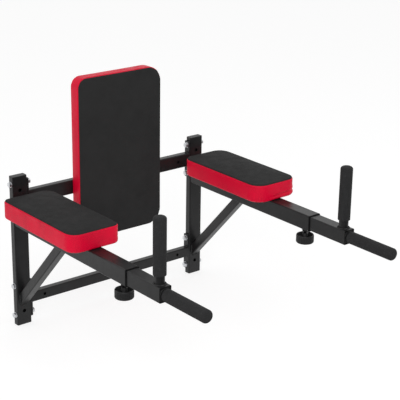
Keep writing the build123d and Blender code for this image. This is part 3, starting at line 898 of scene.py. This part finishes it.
@dataclass
class Cushion:
    """Upholstered pad: a two-tone leather cover swollen over foam, seamed and stapled under its board."""

    node: str
    piece: str
    facing: Facing
    corners: Corners
    rim_mm: float                 # height of the edge between the side band and the face
    voxel_mm: float = 3.6
    round_mm: float = 4.5         # rounding of that edge
    tuck_mm: float = 5.0          # rounding between the side band and the seat
    pull_mm: float = 0.5          # sides drawn in between the corners
    bulge_mm: float = 1.8         # most that the pressure may move the side band
    swell_mm: float = 7.0         # most that the pressure may move the face
    pressure: float = 4.0
    frames: int = 20
    seam_mm: float = 2.8          # seam below the edge
    seam_reach_mm: float = 9.0    # how far in from the outline the seam pulls
    groove_mm: float = 0.8
    groove_half_mm: float = 0.9
    puff_mm: float = 0.3
    puff_half_mm: float = 1.8
    puff_off_mm: float = 3.4      # from the seam to the crest of each puffed edge
    crease_mm: float = 0.0        # fold in the front band, at its right end
    crease_half_mm: float = 1.9
    crease_along_mm: float = 70.0
    crease_behind_mm: float = 30.0
    ridge_half_mm: float = 4.0    # ridges over and under the fold
    gather_mm: float = 0.6        # folds under the corners
    staple_gap_mm: float = 34.0
    staple_edge_mm: float = 9.0   # from the pad's edge to its staples
    size: Vector = field(init=False)
    seat: Matrix = field(init=False)

    def __post_init__(self) -> None:
        """Read the pad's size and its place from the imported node."""
        low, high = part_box(self.node)
        span, centre = high - low, (low + high) / 2
        if self.facing is Facing.UP:
            self.size = span
            self.seat = Matrix.Translation((centre.x, centre.y, low.z))
        else:
            self.size = Vector((span.x, span.z, span.y))
            turn = Matrix.Rotation(math.pi / 2, 4, "X")
            self.seat = Matrix.Translation((centre.x, high.y, centre.z)) @ turn

    def build(self) -> None:
        """Shape the foam, swell it, sew its cover and staple it down."""
        blank = self.make_blank()
        self.swell(blank)
        bm = bmesh.new()
        bm.from_mesh(blank.data)
        bpy.data.objects.remove(blank)
        self.fit(bm)
        self.draw_in(bm)
        self.sew(bm)
        bmesh.ops.transform(bm, matrix=self.seat, verts=bm.verts)
        pad = make_piece(self.piece, bm, [RED_LEATHER, BLACK_LEATHER], "frame",
                         (self.node,), crease_deg=180.0)
        self.staple()

    def inside(self, place: Vector) -> float:
        """How far a place lies inside the pad's rounded outline."""
        corner = self.corners.at(place) * MM
        x = abs(place.x) - self.size.x / 2 + corner
        y = abs(place.y) - self.size.y / 2 + corner
        return corner - math.hypot(max(x, 0.0), max(y, 0.0)) - min(max(x, y), 0.0)

    def make_blank(self) -> Object:
        """Block of foam in even faces, a little slimmer than the pad, with a low crown."""
        shrink = 2 * self.bulge_mm * MM
        width, length, height = self.size.x - shrink, self.size.y - shrink, self.rim_mm * MM
        bm = bmesh.new()
        bmesh.ops.create_cube(bm, size=1.0, matrix=Matrix.Translation((0, 0, 0.5)))
        bmesh.ops.scale(bm, vec=(width, length, height), verts=bm.verts)
        for edge in [e for e in bm.edges if abs(e.verts[0].co.z - e.verts[1].co.z) > height / 2]:
            corner = self.corners.at(edge.verts[0].co) * MM
            bmesh.ops.bevel(bm, geom=[edge], offset=corner, offset_type="OFFSET", segments=10, profile=0.5,
                            affect="EDGES", material=-1)
        for level, rounding in ((height, self.round_mm), (0.0, self.tuck_mm)):
            rim = [e for e in bm.edges if all(abs(v.co.z - level) < 1e-6 for v in e.verts)]
            bmesh.ops.bevel(bm, geom=rim, offset=rounding * MM, offset_type="OFFSET", segments=3,
                            profile=0.5, affect="EDGES", material=-1)
        blank = show("blank", baked("blank", bm))
        remesh = blank.modifiers.new("even", "REMESH")
        remesh.mode = "VOXEL"
        remesh.voxel_size = self.voxel_mm * MM
        apply_modifiers(blank)
        for v in blank.data.vertices:
            if v.co.z > height - 0.5 * MM:
                v.co.z += self.crown(v.co)
        return blank

    def crown(self, place: Vector) -> float:
        """Height of the uncovered foam above the edge of the face."""
        across, along = 2 * place.x / self.size.x, 2 * place.y / self.size.y
        rise = max(0.0, 1 - abs(across) ** 2.5) * max(0.0, 1 - abs(along) ** 3.5)
        return 0.6 * (self.size.z - self.rim_mm * MM) * rise

    def is_held(self, place: Vector) -> bool:
        """Whether a point of the cover is held by the staples or by the seam."""
        if place.z < self.tuck_mm * MM:
            return True
        off = abs(place.z - self.seam_height())
        near = self.bulge_mm + 1.2 * self.voxel_mm
        return off < self.voxel_mm * MM and self.inside(place) < near * MM

    def seam_height(self) -> float:
        """Height of the seam above the seat."""
        return (self.rim_mm - self.seam_mm) * MM

    def swell(self, blank: Object) -> None:
        """Blow the cover up from inside, with its seat and seam held, and round it with a subdivision."""
        rest = [v.co.copy() for v in blank.data.vertices]
        held = blank.vertex_groups.new(name="held")
        held.add([i for i, co in enumerate(rest) if self.is_held(co)], 1.0, "REPLACE")
        cloth = blank.modifiers.new("pressure", "CLOTH")
        cloth.settings.vertex_group_mass = held.name
        cloth.settings.use_pressure = True
        cloth.settings.uniform_pressure_force = self.pressure
        cloth.settings.effector_weights.gravity = 0.0
        cloth.point_cache.frame_start = 1
        cloth.point_cache.frame_end = self.frames
        for step in range(1, self.frames + 1):
            bpy.context.scene.frame_set(step)
        graph = bpy.context.evaluated_depsgraph_get()
        swollen = [v.co.copy() for v in blank.evaluated_get(graph).data.vertices]
        blank.modifiers.clear()
        bpy.context.scene.frame_set(1)
        farthest = 0.0
        for v, start, end in zip(blank.data.vertices, rest, swollen):
            move = end - start
            farthest = max(farthest, move.length)
            most = MM * (self.swell_mm if start.z > self.rim_mm * MM else self.bulge_mm)
            v.co = start + move.normalized() * most * math.tanh(move.length / most)
        LOG.info("%s: pressure moved the cover %.1f mm", self.piece, farthest / MM)
        rounding = blank.modifiers.new("round", "SUBSURF")
        rounding.levels = 1
        rounding.render_levels = 1
        apply_modifiers(blank)

    def fit(self, bm: BMesh) -> None:
        """Bring the swollen form to the pad's own size, on its seat, with the edge of its face in place."""
        bmesh.ops.smooth_vert(bm, verts=bm.verts, factor=0.5, use_axis_x=True, use_axis_y=True,
                              use_axis_z=True)
        low = Vector([min(v.co[i] for v in bm.verts) for i in range(3)])
        high = Vector([max(v.co[i] for v in bm.verts) for i in range(3)])
        centre = (low + high) / 2
        bmesh.ops.translate(bm, vec=(-centre.x, -centre.y, -low.z), verts=bm.verts)
        bmesh.ops.scale(bm, vec=(self.size.x / (high.x - low.x), self.size.y / (high.y - low.y), 1.0),
                        verts=bm.verts)
        edge = self.seam_height()
        lift = (self.size.z - edge) / (high.z - low.z - edge)
        for v in bm.verts:
            if v.co.z > edge:
                v.co.z = edge + (v.co.z - edge) * lift

    def draw_in(self, bm: BMesh) -> None:
        """Draw the sides in between the corners, and gather the cover under each corner."""
        half = self.size / 2
        pull = self.pull_mm * MM
        for v in bm.verts:
            across, along = v.co.x / half.x, v.co.y / half.y
            v.co.x -= pull * across ** 3 * max(0.0, 1 - along ** 2)
            v.co.y -= pull * along ** 3 * max(0.0, 1 - across ** 2)
            corner = self.corners.at(v.co) * MM
            arm = Vector((abs(v.co.x) - half.x + corner, abs(v.co.y) - half.y + corner, 0))
            low = 1 - v.co.z / (0.2 * self.size.z)
            if min(arm.x, arm.y) <= 0 or low <= 0:
                continue
            turn = math.atan2(arm.y, arm.x)
            wave = math.sin(2 * turn) * math.cos(26 * turn)
            fold = self.gather_mm * MM * low * wave * min(1.0, arm.length / corner)
            way = Vector((math.copysign(arm.x, v.co.x), math.copysign(arm.y, v.co.y), 0)).normalized()
            v.co += way * fold

    def sew(self, bm: BMesh) -> None:
        """Cut the seam's line, sink it between two puffed edges and part the two leathers there."""
        seam = self.seam_height()
        for step in SEAM_CUTS_MM:
            everything = bm.verts[:] + bm.edges[:] + bm.faces[:]
            bmesh.ops.bisect_plane(bm, geom=everything, dist=1e-5, plane_co=(0, 0, seam + step * MM),
                                   plane_no=UP)
        bm.normal_update()
        moves = [(v, v.normal.copy(), self.dent(v.co)) for v in bm.verts]
        for v, normal, depth in moves:
            v.co -= normal * depth
        bm.normal_update()
        for face in bm.faces:
            face.material_index = 1 if face.calc_center_median().z > seam else 0

    def dent(self, place: Vector) -> float:
        """How far the seam and the fold draw the cover in at a place; below zero where it puffs out."""
        off = (place.z - self.seam_height()) / MM
        groove = self.groove_mm * bell(off, self.groove_half_mm)
        puff = self.puff_mm * bell(abs(off) - self.puff_off_mm, self.puff_half_mm)
        depth = bell(self.inside(place) / MM, self.seam_reach_mm) * (groove - puff)
        if self.crease_mm:
            across = (self.size.x / 2 - place.x) / MM
            behind = (self.size.y / 2 + place.y) / MM
            height = place.z / MM - 0.34 * self.rim_mm + 0.06 * across
            fold = bell(height, self.crease_half_mm)
            under, over = bell(height + 7.0, self.ridge_half_mm), bell(height - 6.0, self.ridge_half_mm)
            fade = bell(across, self.crease_along_mm) * bell(behind, self.crease_behind_mm)
            depth += self.crease_mm * fade * (fold - 0.7 * under - 0.42 * over)
        return depth * MM

    def staple(self) -> None:
        """Drive wire staples through the cover's turned-in edge, along the straight stretches."""
        half = self.size / 2
        gap = self.staple_gap_mm * MM
        staples = bmesh.new()
        for axis in (0, 1):
            reach = half[axis] - 1.2 * self.corners.largest() * MM
            count = int(2 * reach / gap) + 1
            for index in range(count):
                along = (index - (count - 1) / 2) * gap
                for sign in (-1, 1):
                    place = Vector((0, 0, 0))
                    place[axis] = along
                    place[1 - axis] = sign * (half[1 - axis] - self.staple_edge_mm * MM)
                    wire = self.make_staple()
                    turn = Matrix.Rotation(axis * math.pi / 2, 3, "Z")
                    bmesh.ops.rotate(wire, cent=(0, 0, 0), matrix=turn, verts=wire.verts)
                    bmesh.ops.translate(wire, vec=place, verts=wire.verts)
                    add(staples, wire)
        bmesh.ops.transform(staples, matrix=self.seat, verts=staples.verts)
        make_piece(f"{self.piece}_staples", staples, [BRIGHT_ZINC], "frame")

    def make_staple(self) -> BMesh:
        """One staple: a flat wire whose ends bend into the board."""
        bm = bmesh.new()
        wire, half = 0.45 * MM, 5 * MM
        bmesh.ops.create_cone(bm, cap_ends=True, segments=6, radius1=wire, radius2=wire, depth=2 * half,
                              matrix=Matrix.Rotation(math.pi / 2, 4, "Y"))
        along = [e for e in bm.edges if abs(e.verts[0].co.x - e.verts[1].co.x) > half]
        bmesh.ops.subdivide_edges(bm, edges=along, cuts=7, use_grid_fill=True)
        for v in bm.verts:
            v.co.z = 0.6 * v.co.z + 2.4 * MM * (abs(v.co.x) / half) ** 8
        return bm


def apply_modifiers(piece: Object) -> None:
    """Make what an object's modifiers give its own mesh."""
    graph = bpy.context.evaluated_depsgraph_get()
    mesh = bpy.data.meshes.new_from_object(piece.evaluated_get(graph))
    piece.modifiers.clear()
    piece.data = mesh


@dataclass
class Pads:
    """The three cushions, with the boards and fasteners that hold them."""

    frame: dict
    arm_rim_mm: float = 51.2      # height of the side band on the arms' pads
    back_rim_mm: float = 41.2     # and on the back pad

    def build(self) -> None:
        """Dress the boards and fasteners, and make the cushions."""
        for side in Side:
            dress(self.frame, LEVEL_PLY, f"{side.value}_arm_pad_board")
        dress(self.frame, UPRIGHT_PLY, "back_pad_board")
        for pad in ("arm_pad", "back_pad"):
            dress(self.frame, BRIGHT_ZINC, f"{pad}_bolts", f"{pad}_washers", f"{pad}_tee_nuts")
        self.pad_arm(Side.LEFT, Corners(32.0, 20.0, 34.0, 18.0), crease_mm=0.4)
        self.pad_arm(Side.RIGHT, Corners(38.0, 32.0, 36.0, 30.0), crease_mm=3.4)
        Cushion("back_pad_cushion", "back_pad", Facing.FRONT, Corners(28.0, 42.0, 42.0, 27.0),
                self.back_rim_mm, voxel_mm=4.4, round_mm=3.0, bulge_mm=4.5).build()

    def pad_arm(self, side: Side, corners: Corners, crease_mm: float) -> None:
        """Make the cushion of one arm."""
        Cushion(f"{side.value}_arm_pad_cushion", f"{side.value}_arm_pad", Facing.UP, corners,
                self.arm_rim_mm, crease_mm=crease_mm).build()


# Studio


@dataclass(frozen=True)
class Viewpoint:
    """Where the camera stands, and what it is turned to."""

    azimuth_deg: float = -39.361
    elevation_deg: float = 19.838
    roll_deg: float = 0.874
    distance: float = 3.18835
    target: tuple[float, float, float] = (0.0, -0.40661, 0.19488)
    lens_mm: float = 111.94
    sensor_mm: float = 36.0

    def build(self) -> None:
        """Make the scene's camera."""
        around, above = math.radians(self.azimuth_deg), math.radians(self.elevation_deg)
        level = math.cos(above)
        back = Vector((math.sin(around) * level, -math.cos(around) * level, math.sin(above)))
        right = (-back).cross(UP).normalized()
        up = back.cross(right)
        tilt = Matrix.Rotation(math.radians(self.roll_deg), 4, "Z")
        axes = Matrix((right, up, back)).transposed().to_4x4() @ tilt
        lens = bpy.data.cameras.new("camera")
        lens.lens = self.lens_mm
        lens.sensor_width = self.sensor_mm
        camera = show("camera", lens)
        camera.matrix_world = Matrix.Translation(Vector(self.target) + back * self.distance) @ axes
        bpy.context.scene.camera = camera


@dataclass(frozen=True)
class Lamp:
    """Soft square lamp that is turned to a point."""

    name: str
    place: tuple[float, float, float]
    size: float
    power: float
    target: tuple[float, float, float] = (0.0, -0.35, 0.1)

    def build(self) -> None:
        """Hang the lamp."""
        light = bpy.data.lights.new(self.name, "AREA")
        light.size = self.size
        light.energy = self.power
        turn = (Vector(self.target) - Vector(self.place)).to_track_quat("-Z", "Y")
        lamp = show(self.name, light)
        lamp.matrix_world = Matrix.Translation(self.place) @ turn.to_matrix().to_4x4()


@dataclass(frozen=True)
class Studio:
    """White floor, white surroundings and soft lamps; the room before the station is dimmer in mirrors."""

    floor_half: float = 15.0
    floor_drop: float = 0.0005
    floor_white: float = 0.95
    shadow_share: float = 0.4     # how much of the floor's own shade the camera sees
    glow: float = 1.23            # so that the lit floor and its glow add up to white
    ambient: float = 0.55         # strength of the surroundings as a light
    dim: float = 0.25             # strength of the white on the dim side, in a mirror
    dim_way: tuple[float, float, float] = (-0.3, -0.95, 0.0)
    dim_reach: tuple[float, float] = (-0.15, 0.9)   # where the white starts and stops to fade
    lamps: tuple[Lamp, ...] = (
        Lamp("key", (-2.0, -2.5, 1.8), 2.0, 41.0),
        Lamp("top", (0.3, -0.5, 3.0), 2.4, 8.0),
        Lamp("fill", (2.6, -1.8, 1.4), 2.0, 7.0),
    )

    def build(self, floor_height: float) -> None:
        """Lay the floor, light the scene and set the plain view transform."""
        bpy.context.scene.view_settings.view_transform = "Standard"
        self.lay_floor(floor_height - self.floor_drop)
        self.light_world()
        for lamp in self.lamps:
            lamp.build()
        Viewpoint().build()

    def seen_share(self, tree: NodeTree, share: float) -> NodeSocket:
        """A share for rays from the camera, all for those from a mirror or glass and nothing for the rest."""
        rays = add_node(tree, "LightPath", {})
        total = add_node(tree, "Math", {0: rays.outputs["Is Camera Ray"], 1: share}, operation="MULTIPLY")
        for name in ("Is Glossy Ray", "Is Transmission Ray"):
            inputs = {0: total.outputs["Value"], 1: rays.outputs[name]}
            total = add_node(tree, "Math", inputs, operation="MAXIMUM")
        return total.outputs["Value"]

    def white(self, tree: NodeTree, place: NodeSocket, full_strength: float) -> NodeSocket:
        """Strength of the white: full to the camera, and in a mirror less towards the dim side of the room.

        Args:
            tree: Node tree of the floor or the world.
            place: Position on the floor, or direction in the world.
            full_strength: Strength to the camera.

        Returns:
            The strength, as a socket.
        """
        reach = add_node(tree, "VectorMath", {0: place, 1: self.dim_way}, operation="DOT_PRODUCT")
        fade = add_node(tree, "MapRange", {"Value": reach.outputs["Value"], "From Min": self.dim_reach[0],
                                           "From Max": self.dim_reach[1], "To Min": 1.0, "To Max": self.dim})
        seen = add_node(tree, "LightPath", {}).outputs["Is Camera Ray"]
        inputs = {"Factor": seen, "A": fade.outputs["Result"], "B": full_strength}
        return add_node(tree, "Mix", inputs).outputs["Result"]

    def lay_floor(self, height: float) -> None:
        """Lay a white floor that still takes the station's soft shadow."""
        bm = bmesh.new()
        bmesh.ops.create_grid(bm, x_segments=2, y_segments=2, size=self.floor_half,
                              matrix=Matrix.Translation((0, 0, height)))
        floor = show("floor", baked("floor", bm))
        material = bpy.data.materials.new("white_floor")
        material.use_nodes = True
        tree = material.node_tree
        surface = tree.nodes["Principled BSDF"]
        surface.inputs["Base Color"].default_value = (*[self.floor_white] * 3, 1.0)
        surface.inputs["Roughness"].default_value = 0.9
        place = add_node(tree, "NewGeometry", {}).outputs["Position"]
        glow = add_node(tree, "Emission", {"Strength": self.white(tree, place, self.glow)})
        mix = add_node(tree, "MixShader", {0: self.seen_share(tree, 1 - self.shadow_share),
                                           1: surface.outputs["BSDF"], 2: glow.outputs["Emission"]})
        tree.links.new(mix.outputs["Shader"], tree.nodes["Material Output"].inputs["Surface"])
        floor.data.materials.append(material)
        floor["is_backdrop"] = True

    def light_world(self) -> None:
        """White surroundings: plain white to look at or in a mirror, dimmer as a light."""
        world = bpy.data.worlds.new("studio")
        world.use_nodes = True
        bpy.context.scene.world = world
        tree = world.node_tree
        sky = tree.nodes["Background"]
        sky.inputs["Color"].default_value = (1.0, 1.0, 1.0, 1.0)
        way = add_node(tree, "TexCoord", {}).outputs["Generated"]
        strength = add_node(tree, "Mix", {"Factor": self.seen_share(tree, 1.0), "A": self.ambient,
                                          "B": self.white(tree, way, 1.0)})
        tree.links.new(strength.outputs["Result"], sky.inputs["Strength"])


def main() -> None:
    """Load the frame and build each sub-assembly in order."""
    logging.basicConfig(level=logging.INFO, format="%(message)s")
    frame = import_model()
    cad_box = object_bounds()
    WallFrame(frame).build()
    for side in Side:
        Arm(frame, side).build()
        Extension(frame, side).build()
        Clamp(frame, side).build()
    Pads(frame).build()
    Studio().build(cad_box[0].z)


if __name__ == "__main__":
    main()
